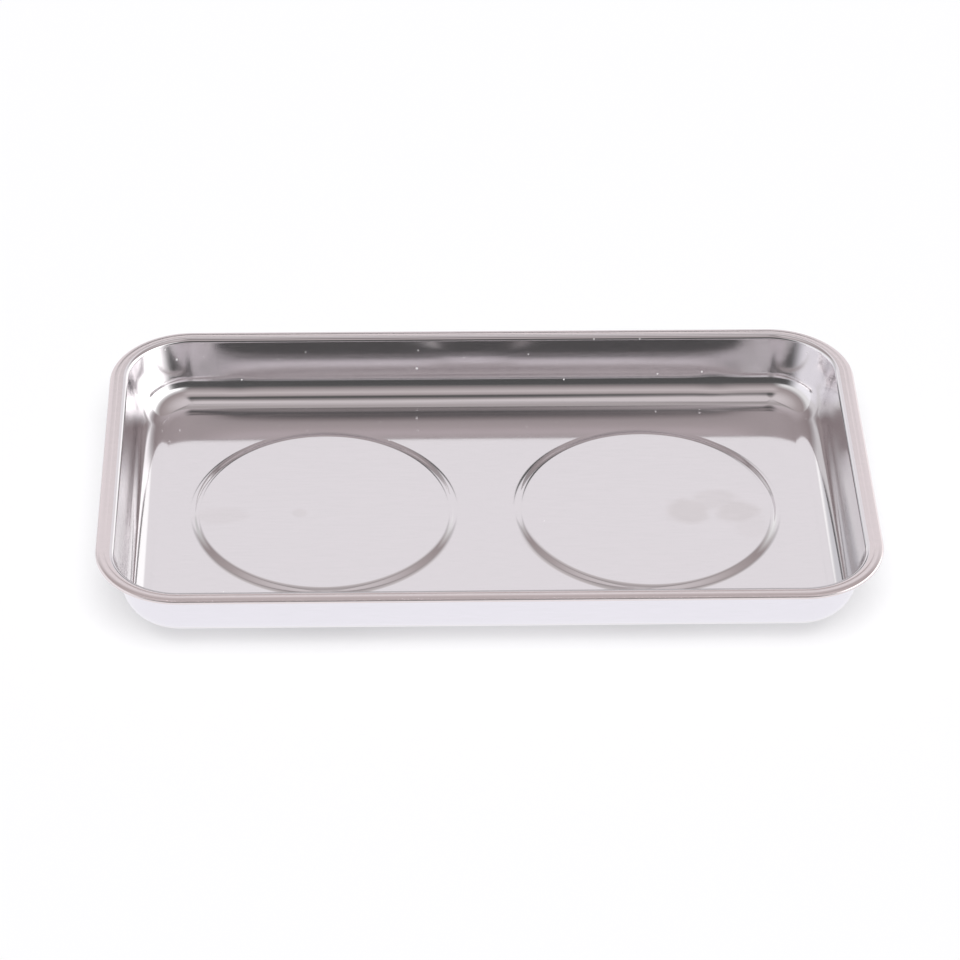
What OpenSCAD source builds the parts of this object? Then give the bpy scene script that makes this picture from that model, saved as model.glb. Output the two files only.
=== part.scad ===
// Magnetic parts tray: a shallow drawn steel pan with a crowned, hemmed rim and two raised
// round seats, each with a magnet pack in a rubber boot bonded beneath it.
// Millimetres, +Z up. The origin lies under the middle of the pan, on the plane
// that the boots stand on. +X runs along the length, +Y along the width.

/* [Pan] */
// Length over the rim
tray_l = 240; // [210:1:320]
// Width over the rim
tray_w = 140; // [125:1:200]
// Depth from the top of the rim to the floor
pan_depth = 20.9; // [14:0.1:40]
// Corner radius over the rim
rim_corner_r = 26; // [20:0.5:45]
// Thickness of the steel sheet
sheet_t = 0.5; // [0.4:0.05:0.8]
// Lean of the walls from upright, in degrees
wall_lean = 11.5; // [5:0.5:15]
// Inside radius where the floor turns up into the walls
floor_bend_r = 10; // [4:0.5:12]

/* [Rim] */
// Inside radius of the bend from wall to rim
shoulder_r = 1; // [0.6:0.1:1.6]
// Width of the flat strip between that bend and the crease, along the short sides
flat_w = 1.4; // [0.8:0.1:3]
// Width of the same strip along the long sides
side_flat_w = 0.2; // [0.1:0.05:0.6]
// Inside radius of both bends of the crease
crease_r = 0.4; // [0.2:0.1:0.8]
// Width of the crease's slope
crease_w = 0.25; // [0.1:0.05:0.5]
// Slope of the crease below the flat strip, in degrees
crease_dip = 12; // [6:1:18]
// Inside radius of the crown that runs round the edge
crown_r = 4.5; // [3:0.5:8]
// Rise of the crown beside the crease, in degrees
crown_rise = 3; // [1:1:6]
// Fall of the crown at the edge, in degrees
crown_fall = 12; // [6:1:18]
// Straight lip on each side of the crown
lip_w = 0.3; // [0.1:0.1:0.6]
// Inside radius of the fold at the edge
hem_r = 0.3; // [0.1:0.05:0.4]

/* [Magnet seats] */
// Distance between the middles of the two seats, as a share of the tray's length
seat_pitch_ratio = 0.425; // [0.41:0.005:0.45]
// Radius of a seat's flat top
seat_r = 38.8; // [32:0.1:40]
// Height of a seat above the floor
seat_rise = 0.9; // [0.6:0.05:2]
// Inside radius of the step's upper bend
step_top_r = 4; // [1:0.1:6]
// Inside radius of the step's lower bend
step_foot_r = 6; // [1:0.1:7]
// Straight slope between the step's two bends
step_run = 0.3; // [0.1:0.1:1]
// Flat land that runs out into the floor round the step
step_land = 0.6; // [0.3:0.1:1]

/* [Magnet packs] */
// Radial gap between a boot and the step round its seat
boot_gap = 0.4; // [0.2:0.1:1.5]
// Thickness of a boot's wall at its top
boot_wall = 2.2; // [1.6:0.1:4]
// Thickness of a boot's base
boot_base = 1.6; // [1:0.1:3]
// How much narrower a boot is at its base than at its top, on the radius
boot_taper = 0.6; // [0.2:0.1:1.2]
// Radius of the rounded edge under a boot
boot_edge_r = 1.4; // [0.6:0.1:2.5]
// Wall of the hollow hub inside a boot
hub_wall = 2; // [1:0.1:4]
// Thickness of a ring magnet
magnet_t = 5.5; // [3:0.1:10]
// Radius of the hole in a ring magnet
magnet_bore_r = 16; // [10:0.5:22]
// Chamfer on the edges of a ring magnet
magnet_chamfer = 0.5; // [0.2:0.1:1]
// Thickness of the steel pole plate behind a magnet
plate_t = 1.5; // [0.8:0.1:3]
// How far the pole plate stays inside the magnet's outer edge
plate_inset = 0.5; // [0.2:0.1:3]
// Radial gap between a magnet and its boot
pack_gap = 0.25; // [0.1:0.05:0.5]
// Thickness of the adhesive pad under a seat
pad_t = 0.3; // [0.2:0.1:1.2]
// How far the adhesive pad stays inside the boot's outer edge
pad_inset = 0.5; // [0.2:0.1:1.5]

/* [Hidden] */
$fn = 96;

// Largest turn between two points along a bend, in degrees
bend_facet = 9;

// Heights of the stack, from the plane under the boots upwards
plate_z = boot_base;
magnet_z = plate_z + plate_t;
boot_h = magnet_z + magnet_t;
seat_ceiling_z = boot_h + pad_t;
floor_z = seat_ceiling_z - seat_rise + sheet_t;

// Corner axes of the rim's edge, and of the walls, which stand further out along the long sides
corner_x = tray_l / 2 - rim_corner_r;
corner_y = tray_w / 2 - rim_corner_r;
wall_corner_y = corner_y + flat_w - side_flat_w;

// Turns of the sheet at the wall, the crease and the crown
wall_turn = 90 - wall_lean;
crease_turn = crease_dip + crown_rise;
crown_turn = crown_rise + crown_fall;

// How far the walls and the edge each run into the flat strip between them
strip_lap = side_flat_w / 2;

// Paths of the sheet: each row is a straight run, the turn after it (left is positive)
// and the inside radius of that turn
function wall_path(floor_length, wall_length) = [
    [floor_length, wall_turn, floor_bend_r],
    [wall_length, -wall_turn, shoulder_r],
    [strip_lap, 0, 0]
];
edge_path = [
    [strip_lap, -crease_dip, crease_r],
    [crease_w, crease_turn, crease_r],
    [lip_w, -crown_turn, crown_r],
    [lip_w, -180, hem_r],
    [lip_w, crown_turn, crown_r - 2 * hem_r - sheet_t],
    [lip_w, 0, 0]
];

// Distances from a corner's axis to the crease and to the flat strip's inner side
crease_reach = rim_corner_r - reach_of(skin(edge_path, 0)) + strip_lap;
shoulder_reach = crease_reach - flat_w;

// Wall that brings the rim to its height, and floor that brings the shoulder to the flat strip
wall_run = (pan_depth - top_of(skin(wall_path(0, 0), 0))) / cos(wall_lean);
floor_run = shoulder_reach + strip_lap - reach_of(skin(wall_path(0, wall_run), 0));

// Distance between the middles of the two seats
seat_pitch = seat_pitch_ratio * tray_l;

// Step round a seat: two bends with a slope between them that together make up its height
step_r = step_top_r + sheet_t + step_foot_r;
step_turn = acos((step_r - seat_rise) / norm([step_r, step_run])) - atan(step_run / step_r);
seat_foot_r = seat_r + step_r * sin(step_turn) + step_run * cos(step_turn);

// Radii of a magnet pack
boot_r = seat_r - boot_gap;
magnet_r = boot_r - boot_wall - pack_gap;
hub_r = magnet_bore_r - pack_gap;

// Path of the step round a seat
seat_path = [
    [seat_r, -step_turn, step_top_r],
    [step_run, step_turn, step_foot_r],
    [step_land, 0, 0]
];

function ahead(angle) = [cos(angle), sin(angle)];
function left_of(angle) = [-sin(angle), cos(angle)];
function reversed(points) = [for (i = [len(points) - 1:-1:0]) points[i]];
function reach_of(points) = max([for (p = points) p[0]]);
function top_of(points) = max([for (p = points) p[1]]);

// Points of an arc about a middle, both ends included
function arc(middle, r, from, turn) =
    let (n = max(1, ceil(abs(turn) / bend_facet)))
    [for (i = [0:n]) middle + r * ahead(from + turn * i / n)];

// Points along one skin of a sheet path; depth is 0 for the upper skin and sheet_t for the lower
function skin(path, depth, i = 0, at = [0, 0], angle = 0) =
    i == len(path) ? [at - depth * left_of(angle)] :
    let (
        turn = path[i][1],
        bend = at + path[i][0] * ahead(angle),
        upper_r = path[i][2] + (turn < 0 ? sheet_t : 0),
        middle = bend + sign(turn) * upper_r * left_of(angle)
    )
    turn == 0 ? skin(path, depth, i + 1, bend, angle) :
    concat(
        arc(middle, upper_r + sign(turn) * depth, angle - sign(turn) * 90, turn),
        skin(path, depth, i + 1, middle - sign(turn) * upper_r * left_of(angle + turn), angle + turn)
    );

// Section of a sheet path, reaching from where it starts to its end
module sheet_section(path) {
    polygon(concat([[0, 0]], skin(path, 0), reversed(skin(path, sheet_t)), [[0, -sheet_t]]));
}

// Carries a section round the pan, about corner axes at x and y
module round_pan(x, y) {
    for (turn = [0, 180]) {
        rotate(turn) {
            translate([x, 0, 0]) rotate([90, 0, 0]) linear_extrude(2 * y, center = true) children();
            translate([0, y, 0]) rotate([90, 0, 90]) linear_extrude(2 * x, center = true) children();
            translate([x, y, 0]) rotate_extrude(angle = 90) children();
            translate([-x, y, 0]) rotate(90) rotate_extrude(angle = 90) children();
        }
    }
}

// Rectangle with round corners of radius r about corner axes at x and y
module round_outline(x, y, r) {
    square([2 * (x + r), 2 * y], center = true);
    square([2 * x, 2 * (y + r)], center = true);
    for (side = [-1, 1], end = [-1, 1]) {
        translate([side * x, end * y]) circle(r);
    }
}

// Flat strip of the rim between the shoulder and the crease
module rim_strip() {
    translate([0, 0, pan_depth - sheet_t])
        linear_extrude(sheet_t)
            difference() {
                round_outline(corner_x, corner_y, crease_reach);
                round_outline(corner_x, wall_corner_y, shoulder_reach);
            }
}

// Drawn pan before its seats are pressed, with the floor's upper face at z = 0
module plain_pan() {
    round_pan(corner_x, wall_corner_y) sheet_section(wall_path(floor_run, wall_run));
    rim_strip();
    round_pan(corner_x, corner_y) translate([crease_reach - strip_lap, pan_depth]) sheet_section(edge_path);
    translate([0, 0, -sheet_t / 2]) cube([2 * corner_x, 2 * wall_corner_y, sheet_t], center = true);
}

// Hole in the floor that a seat is set in, halfway across the seat's land
module seat_hole() {
    translate([0, 0, -2 * sheet_t]) cylinder(r = seat_foot_r + step_land / 2, h = 3 * sheet_t);
}

module on_right() {
    translate([seat_pitch / 2, 0, 0]) children();
}

module on_left() {
    mirror([1, 0, 0]) on_right() children();
}

module on_both() {
    on_left() children();
    on_right() children();
}

module tray_pan() {
    color("silver")
        translate([0, 0, floor_z]) {
            difference() {
                plain_pan();
                on_both() seat_hole();
            }
            on_both() translate([0, 0, seat_rise]) rotate_extrude() sheet_section(seat_path);
        }
}

module adhesive_pad() {
    color("gainsboro")
        translate([0, 0, boot_h]) cylinder(r = boot_r - pad_inset, h = pad_t);
}

module ring_magnet() {
    c = magnet_chamfer;
    color("dimgray")
        translate([0, 0, magnet_z])
            rotate_extrude()
                polygon([
                    [magnet_bore_r + c, 0], [magnet_r - c, 0], [magnet_r, c], [magnet_r, magnet_t - c],
                    [magnet_r - c, magnet_t], [magnet_bore_r + c, magnet_t],
                    [magnet_bore_r, magnet_t - c], [magnet_bore_r, c]
                ]);
}

module pole_plate() {
    color("lightsteelblue")
        translate([0, 0, plate_z])
            linear_extrude(plate_t)
                difference() {
                    circle(r = magnet_r - plate_inset);
                    circle(r = magnet_bore_r);
                }
}

// Rubber cup that wraps a magnet, with a hollow hub through the magnet's hole
module magnet_boot() {
    foot_r = boot_r - boot_taper;
    lean = atan(boot_taper / boot_h);
    edge = arc([foot_r - boot_edge_r, boot_edge_r], boot_edge_r, -90, 90 - lean);
    color([0.09, 0.09, 0.1])
        rotate_extrude()
            difference() {
                polygon(concat([[0, 0]], edge, [[boot_r, boot_h], [0, boot_h]]));
                translate([hub_r, boot_base]) square([magnet_r + pack_gap - hub_r, boot_h]);
                translate([0, boot_base]) square([hub_r - hub_wall, boot_h]);
            }
}

module left_adhesive_pad() { on_left() adhesive_pad(); }
module left_ring_magnet() { on_left() ring_magnet(); }
module left_pole_plate() { on_left() pole_plate(); }
module left_magnet_boot() { on_left() magnet_boot(); }
module right_adhesive_pad() { on_right() adhesive_pad(); }
module right_ring_magnet() { on_right() ring_magnet(); }
module right_pole_plate() { on_right() pole_plate(); }
module right_magnet_boot() { on_right() magnet_boot(); }

tray_pan();
left_adhesive_pad();
left_ring_magnet();
left_pole_plate();
left_magnet_boot();
right_adhesive_pad();
right_ring_magnet();
right_pole_plate();
right_magnet_boot();
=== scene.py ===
"""Dresses the magnetic parts tray: a bright steel pan on two magnet packs, on a pale table."""
import logging
import math
from dataclasses import dataclass
from enum import Enum
from functools import cached_property, partial, reduce

import bmesh
import bpy
import numpy as np
from mathutils import Matrix, Vector


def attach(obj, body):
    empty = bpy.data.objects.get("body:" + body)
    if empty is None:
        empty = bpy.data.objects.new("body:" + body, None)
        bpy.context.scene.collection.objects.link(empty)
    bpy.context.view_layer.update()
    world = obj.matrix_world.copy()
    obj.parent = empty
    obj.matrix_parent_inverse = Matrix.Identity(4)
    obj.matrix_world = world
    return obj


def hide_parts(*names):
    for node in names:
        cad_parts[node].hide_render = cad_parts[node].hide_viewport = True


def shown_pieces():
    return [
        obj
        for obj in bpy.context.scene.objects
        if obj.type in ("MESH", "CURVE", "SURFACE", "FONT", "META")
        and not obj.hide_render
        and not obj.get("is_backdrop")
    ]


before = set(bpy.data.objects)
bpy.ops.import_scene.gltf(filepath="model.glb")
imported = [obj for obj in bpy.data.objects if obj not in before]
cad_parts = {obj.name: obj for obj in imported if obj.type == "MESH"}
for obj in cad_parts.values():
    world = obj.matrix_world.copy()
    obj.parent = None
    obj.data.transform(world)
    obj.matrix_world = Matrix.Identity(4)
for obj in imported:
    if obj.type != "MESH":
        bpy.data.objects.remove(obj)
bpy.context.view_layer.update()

MM = 0.001
BODY = "root"
log = logging.getLogger("parts_tray")

Material = bpy.types.Material
Mesh = bpy.types.Mesh
Node = bpy.types.Node
NodeTree = bpy.types.NodeTree
Piece = bpy.types.Object
Socket = bpy.types.NodeSocket

Range = tuple[float, float]
Place = tuple[float, float, float]
Colour = tuple[float, float, float, float]
Stop = tuple[float, Colour]

ORIGIN: Place = (0.0, 0.0, 0.0)


def grey(level: float) -> Colour:
    """Neutral colour of one level."""
    return (level, level, level, 1.0)


class Side(Enum):
    """Which way along X something lies."""

    LEFT = -1
    RIGHT = 1

    @property
    def label(self) -> str:
        """Prefix of the side's node names."""
        return self.name.lower()


class Graph:
    """Adds nodes to a node tree and joins them."""

    def __init__(self, tree: NodeTree) -> None:
        """Keep the tree that nodes are added to."""
        self.tree = tree

    def add(self, kind: str, settings: dict | None = None, **inputs: object) -> Node:
        """Add a node.

        Args:
            kind: Blender's name for the type of node.
            settings: Node properties to set.
            inputs: Input sockets by name, spaces as underscores; a socket joins, a value is set.

        Returns:
            The new node.
        """
        node = self.tree.nodes.new(kind)
        for name, value in (settings or {}).items():
            setattr(node, name, value)
        for name, value in inputs.items():
            self.feed(node.inputs[name.replace("_", " ")], value)
        return node

    def feed(self, socket: Socket, value: object) -> None:
        """Give an input its value.

        Args:
            socket: The input.
            value: A socket to join to it, or a plain value to set.
        """
        if isinstance(value, Socket):
            self.tree.links.new(value, socket)
        else:
            socket.default_value = value

    def operate(self, kind: str, operation: str, values: tuple[object, ...]) -> Node:
        """Add a node that works on values in order.

        Args:
            kind: Blender's name for the type of node.
            operation: What the node does.
            values: Up to three values or sockets.

        Returns:
            The new node.
        """
        node = self.add(kind, {"operation": operation})
        for socket, value in zip(node.inputs, values):
            self.feed(socket, value)
        return node

    def math(self, operation: str, *values: object) -> Socket:
        """Result of a Math node on up to three values or sockets."""
        return self.operate("ShaderNodeMath", operation, values).outputs[0]

    def vector(self, operation: str, *values: object) -> Socket:
        """Result of a Vector Math node on up to three values or sockets."""
        node = self.operate("ShaderNodeVectorMath", operation, values)
        return node.outputs["Value" if operation in ("LENGTH", "DISTANCE") else "Vector"]

    def scaled(self, vector: Socket, scale: Socket) -> Socket:
        """Vector or colour times a number."""
        return self.add("ShaderNodeVectorMath", {"operation": "SCALE"}, Vector=vector,
                        Scale=scale).outputs[0]

    def overlap(self, *masks: Socket) -> Socket:
        """Mask that is full where all the masks given are."""
        return reduce(partial(self.math, "MULTIPLY"), masks)

    def spread(self, value: object, low: object, high: object, to_low: float = 0.0,
               to_high: float = 1.0) -> Socket:
        """Map a value smoothly from one range to another.

        Args:
            value: The value to map.
            low: Value at which the result starts; it may be the larger one.
            high: Value at which the result ends.
            to_low: Result at low.
            to_high: Result at high.

        Returns:
            The mapped value.
        """
        node = self.add("ShaderNodeMapRange", {"interpolation_type": "SMOOTHSTEP"}, Value=value,
                        From_Min=low, From_Max=high, To_Min=to_low, To_Max=to_high)
        return node.outputs["Result"]

    def mix(self, factor: object, a: object, b: object) -> Socket:
        """Mix two colours.

        Args:
            factor: Share of the second colour.
            a: First colour.
            b: Second colour.

        Returns:
            The colour between them.
        """
        node = self.add("ShaderNodeMix", {"data_type": "RGBA"})
        colours = [s for s in node.inputs if s.type == "RGBA"]
        self.feed(node.inputs["Factor"], factor)
        self.feed(colours[0], a)
        self.feed(colours[1], b)
        return next(s for s in node.outputs if s.type == "RGBA")


def shader_group(name: str, inputs: dict[str, object], output: str) -> tuple[Graph, dict]:
    """Start a shader node group.

    Args:
        name: Name of the group.
        inputs: Default value of each input; three numbers make a vector.
        output: Name of its value output.

    Returns:
        The graph to add nodes to, and its input sockets by name with its output's as "out".
    """
    tree = bpy.data.node_groups.new(name, "ShaderNodeTree")
    for label, value in inputs.items():
        kind = "NodeSocketFloat" if isinstance(value, float) else "NodeSocketVector"
        tree.interface.new_socket(label, in_out="INPUT", socket_type=kind).default_value = value
    tree.interface.new_socket(output, in_out="OUTPUT", socket_type="NodeSocketFloat")
    graph = Graph(tree)
    ends = {s.name: s for s in graph.add("NodeGroupInput").outputs if s.name}
    ends["out"] = graph.add("NodeGroupOutput").inputs[output]
    return graph, ends


class SharedEffects:
    """Shader node groups that several finishes use."""

    GRAIN_ROUGHNESS = 0.6
    GRAIN_RANGE = (0.3, 0.7)
    LEAST_SPECK = 0.4
    BLOT_NOISE = {"Scale": 220.0, "Detail": 3.0}
    BLOT_EDGE = (1.0, 0.5)
    NOISE_MIDDLE = 0.5

    def __init__(self) -> None:
        """Build each group once."""
        self.grain = self._grain()
        self.specks = self._specks()
        self.blot = self._blot()

    def _grain(self) -> NodeTree:
        """Build fine grain that may be drawn out in one direction.

        Returns:
            The group.
        """
        graph, ends = shader_group("fine_grain", {
            "Vector": ORIGIN, "Stretch": (1.0, 1.0, 1.0), "Scale": 1000.0, "Detail": 4.0}, "Value")
        drawn = graph.vector("MULTIPLY", ends["Vector"], ends["Stretch"])
        noise = graph.add("ShaderNodeTexNoise", Vector=drawn, Scale=ends["Scale"],
                          Detail=ends["Detail"], Roughness=self.GRAIN_ROUGHNESS)
        graph.feed(ends["out"], graph.spread(noise.outputs[0], *self.GRAIN_RANGE))
        return graph.tree

    def _specks(self) -> NodeTree:
        """Build sparse round specks of dust.

        Returns:
            The group.
        """
        graph, ends = shader_group("dust_specks", {
            "Vector": ORIGIN, "Scale": 300.0, "Share": 0.05, "Radius": 0.12}, "Mask")
        cells = graph.add("ShaderNodeTexVoronoi", Vector=ends["Vector"], Scale=ends["Scale"])
        lot = graph.add("ShaderNodeSeparateColor", Color=cells.outputs["Color"])
        chosen = graph.math("LESS_THAN", lot.outputs[0], ends["Share"])
        share = graph.math("ADD", lot.outputs[1], self.LEAST_SPECK)
        size = graph.math("MULTIPLY", ends["Radius"], share)
        dot = graph.math("LESS_THAN", cells.outputs["Distance"], size)
        graph.feed(ends["out"], graph.overlap(chosen, dot))
        return graph.tree

    def _blot(self) -> NodeTree:
        """Build one oval mark with a ragged edge, about a place on the piece.

        Returns:
            The group.
        """
        graph, ends = shader_group("oval_blot", {
            "Vector": ORIGIN, "Centre": ORIGIN, "Reach": (0.01, 0.01, 0.01), "Ragged": 0.2}, "Mask")
        offset = graph.vector("SUBTRACT", ends["Vector"], ends["Centre"])
        away = graph.vector("LENGTH", graph.vector("DIVIDE", offset, ends["Reach"]))
        noise = graph.add("ShaderNodeTexNoise", Vector=ends["Vector"], **self.BLOT_NOISE)
        uneven = graph.math("SUBTRACT", noise.outputs[0], self.NOISE_MIDDLE)
        edge = graph.math("ADD", away, graph.math("MULTIPLY", uneven, ends["Ragged"]))
        graph.feed(ends["out"], graph.spread(edge, *self.BLOT_EDGE))
        return graph.tree


class Surface(Graph):
    """Graph of one material, with its main shader and the piece's own coordinates."""

    def __init__(self, material: Material, shared: SharedEffects) -> None:
        """Start from the material's own nodes.

        Args:
            material: A new material that uses nodes.
            shared: The shader groups that finishes share.
        """
        super().__init__(material.node_tree)
        self.shared = shared
        self.shader = material.node_tree.nodes["Principled BSDF"]
        self.place = self.add("ShaderNodeTexCoord").outputs["Object"]

    def effect(self, tree: NodeTree, **inputs: object) -> Socket:
        """Output of a shared effect, placed on the piece with its own values."""
        return self.add("ShaderNodeGroup", {"node_tree": tree}, Vector=self.place,
                        **inputs).outputs[0]

    def set(self, name: str, value: object) -> None:
        """Join or set an input of the main shader."""
        self.feed(self.shader.inputs[name], value)

    def bump(self, height: Socket, strength: float, depth: float) -> None:
        """Raise the surface by a height, as deep as a distance in metres."""
        node = self.add("ShaderNodeBump", Height=height, Strength=strength, Distance=depth)
        self.set("Normal", node.outputs["Normal"])


@dataclass(frozen=True)
class Finish:
    """A finish, made into a material on the piece's own coordinates."""

    name: str

    def paint(self, surface: Surface) -> None:
        """Lay the finish on a surface."""
        raise NotImplementedError

    def material(self, shared: SharedEffects) -> Material:
        """Make the material.

        Args:
            shared: The shader groups that finishes share.

        Returns:
            The finished material.
        """
        material = bpy.data.materials.new(self.name)
        material.use_nodes = True
        self.paint(Surface(material, shared))
        return material


@dataclass(frozen=True)
class FingerMark:
    """A greasy oval mark left on a seat's top. Metres."""

    x: float
    y: float
    reach_x: float
    reach_y: float
    weight: float

    SEAT_Z = 9.4 * MM
    REACH_Z = 3 * MM

    @property
    def centre(self) -> Place:
        """Middle of the mark."""
        return self.x, self.y, self.SEAT_Z

    @property
    def reach(self) -> Place:
        """Distance from the middle to the mark's edge along each axis."""
        return self.reach_x, self.reach_y, self.REACH_Z


FINGER_MARKS = (
    FingerMark(64.0 * MM, -2.2 * MM, 9.0 * MM, 8.4 * MM, 0.22),
    FingerMark(79.6 * MM, -2.6 * MM, 9.4 * MM, 7.6 * MM, 0.2),
    FingerMark(73.0 * MM, 3.8 * MM, 9.4 * MM, 6.6 * MM, 0.15),
    FingerMark(83.5 * MM, -9.5 * MM, 7.0 * MM, 9.5 * MM, 0.08),
    FingerMark(-58.7 * MM, -1.6 * MM, 3.0 * MM, 3.0 * MM, 0.12),
    FingerMark(-83.3 * MM, -2.6 * MM, 11.0 * MM, 5.5 * MM, 0.1),
)


@dataclass(frozen=True)
class BrightSteel(Finish):
    """Bright rolled stainless steel, lightly handled."""

    colour: Colour = (0.81, 0.785, 0.8, 1.0)
    haze_colour: Colour = (0.63, 0.575, 0.55, 1.0)
    roughness: float = 0.05
    drawn: float = 0.0
    dusty: float = 0.012
    metal: float = 1.0
    marks: tuple[FingerMark, ...] = ()
    mark_ragged: float = 0.5
    haze_shine: float = 0.25
    grain_stretch: Place = (0.06, 1.0, 1.0)
    grain_scale: float = 2600.0
    grain_colour: Colour = grey(0.68)
    grain_tone: float = 0.12
    grain_shine: float = 0.03
    cloud_scale: float = 38.0
    cloud_detail: float = 3.0
    cloud_shine: float = 0.02
    cloud_bump: float = 0.6
    cloud_depth: float = 0.02 * MM
    speck_scale: float = 330.0
    speck_radius: float = 0.09

    def haze(self, surface: Surface) -> object:
        """Lay the finger marks.

        Args:
            surface: The surface to lay them on.

        Returns:
            How hazy each place is, or no haze where there are no marks.
        """
        haze: object = 0.0
        for mark in self.marks:
            mask = surface.effect(surface.shared.blot, Centre=mark.centre, Reach=mark.reach,
                                  Ragged=self.mark_ragged)
            haze = surface.math("MAXIMUM", haze, surface.math("MULTIPLY", mask, mark.weight))
        return haze

    def paint(self, surface: Surface) -> None:
        """Lay the rolled grain, the haze, the dust and the faint waves of the sheet."""
        grain = surface.effect(surface.shared.grain, Stretch=self.grain_stretch,
                               Scale=self.grain_scale)
        cloud = surface.add("ShaderNodeTexNoise", Vector=surface.place, Scale=self.cloud_scale,
                            Detail=self.cloud_detail).outputs[0]
        haze = self.haze(surface)
        tone = surface.mix(surface.math("MULTIPLY", grain, self.grain_tone), self.colour,
                           self.grain_colour)
        surface.set("Base Color", surface.mix(haze, tone, self.haze_colour))
        shine: object = self.roughness
        for mask, gain in ((grain, self.grain_shine), (cloud, self.cloud_shine),
                           (haze, self.haze_shine)):
            shine = surface.math("MULTIPLY_ADD", mask, gain, shine)
        surface.set("Roughness", shine)
        dust = surface.effect(surface.shared.specks, Scale=self.speck_scale, Share=self.dusty,
                              Radius=self.speck_radius)
        surface.set("Metallic", surface.math("SUBTRACT", self.metal, dust))
        surface.bump(cloud, self.cloud_bump, self.cloud_depth)
        if self.drawn:
            surface.set("Anisotropic", self.drawn)
            level = surface.add("ShaderNodeTangent", {"direction_type": "RADIAL", "axis": "Z"})
            surface.set("Tangent", level.outputs[0])


@dataclass(frozen=True)
class MouldedRubber(Finish):
    """Matt black rubber with a finely pebbled skin and pale dust."""

    colour: Colour = (0.026, 0.026, 0.028, 1.0)
    dusty: Colour = (0.075, 0.073, 0.07, 1.0)
    roughness: float = 0.52
    pebble_scale: float = 1900.0
    pebble_detail: float = 2.0
    pebble_bump: float = 0.5
    pebble_depth: float = 0.05 * MM
    bloom_scale: float = 70.0
    bloom_detail: float = 5.0
    bloom_tone: float = 0.35
    bloom_shine: float = 0.18
    speck_scale: float = 420.0
    speck_share: float = 0.05

    def paint(self, surface: Surface) -> None:
        """Lay the pebbled skin, the bloom and the dust."""
        grain = surface.shared.grain
        pebble = surface.effect(grain, Scale=self.pebble_scale, Detail=self.pebble_detail)
        bloom = surface.effect(grain, Scale=self.bloom_scale, Detail=self.bloom_detail)
        dust = surface.effect(surface.shared.specks, Scale=self.speck_scale, Share=self.speck_share)
        pale = surface.math("MAXIMUM", surface.math("MULTIPLY", bloom, self.bloom_tone), dust)
        surface.set("Base Color", surface.mix(pale, self.colour, self.dusty))
        shine = surface.math("MULTIPLY_ADD", bloom, self.bloom_shine, self.roughness)
        surface.set("Roughness", shine)
        surface.bump(pebble, self.pebble_bump, self.pebble_depth)


@dataclass(frozen=True)
class GroundFerrite(Finish):
    """Dark sintered magnet with ground faces."""

    dark: Colour = grey(0.055)
    light: Colour = grey(0.1)
    roughness: float = 0.42
    grit_scale: float = 1500.0
    line_stretch: Place = (0.04, 1.0, 1.0)
    line_scale: float = 900.0
    line_shine: float = 0.2
    line_bump: float = 0.4
    line_depth: float = 0.02 * MM

    def paint(self, surface: Surface) -> None:
        """Lay the grit and the lines that grinding leaves."""
        grain = surface.shared.grain
        grit = surface.effect(grain, Scale=self.grit_scale)
        lines = surface.effect(grain, Stretch=self.line_stretch, Scale=self.line_scale)
        surface.set("Base Color", surface.mix(grit, self.dark, self.light))
        shine = surface.math("MULTIPLY_ADD", lines, self.line_shine, self.roughness)
        surface.set("Roughness", shine)
        surface.bump(lines, self.line_bump, self.line_depth)


@dataclass(frozen=True)
class ZincPlate(Finish):
    """Zinc-plated steel with a faint spangle."""

    dark: Colour = (0.5, 0.52, 0.56, 1.0)
    light: Colour = (0.66, 0.68, 0.7, 1.0)
    roughness: float = 0.26
    spangle_scale: float = 260.0
    spangle_shine: float = 0.15

    def paint(self, surface: Surface) -> None:
        """Lay the spangle."""
        surface.set("Metallic", 1.0)
        spangle = surface.effect(surface.shared.grain, Scale=self.spangle_scale)
        surface.set("Base Color", surface.mix(spangle, self.dark, self.light))
        shine = surface.math("MULTIPLY_ADD", spangle, self.spangle_shine, self.roughness)
        surface.set("Roughness", shine)


@dataclass(frozen=True)
class FoamTape(Finish):
    """Pale acrylic foam tape with fine closed cells."""

    dark: Colour = grey(0.72)
    light: Colour = grey(0.84)
    roughness: float = 0.7
    cell_scale: float = 2400.0
    cell_detail: float = 2.0
    cell_shine: float = 0.15
    cell_bump: float = 0.6
    cell_depth: float = 0.05 * MM

    def paint(self, surface: Surface) -> None:
        """Lay the cells."""
        cells = surface.effect(surface.shared.grain, Scale=self.cell_scale, Detail=self.cell_detail)
        surface.set("Base Color", surface.mix(cells, self.dark, self.light))
        shine = surface.math("MULTIPLY_ADD", cells, self.cell_shine, self.roughness)
        surface.set("Roughness", shine)
        surface.bump(cells, self.cell_bump, self.cell_depth)


@dataclass(frozen=True)
class Bend:
    """A straight run of sheet and the turn after it, left positive, in degrees."""

    run: float
    turn: float = 0.0
    inside_r: float = 0.0


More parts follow.
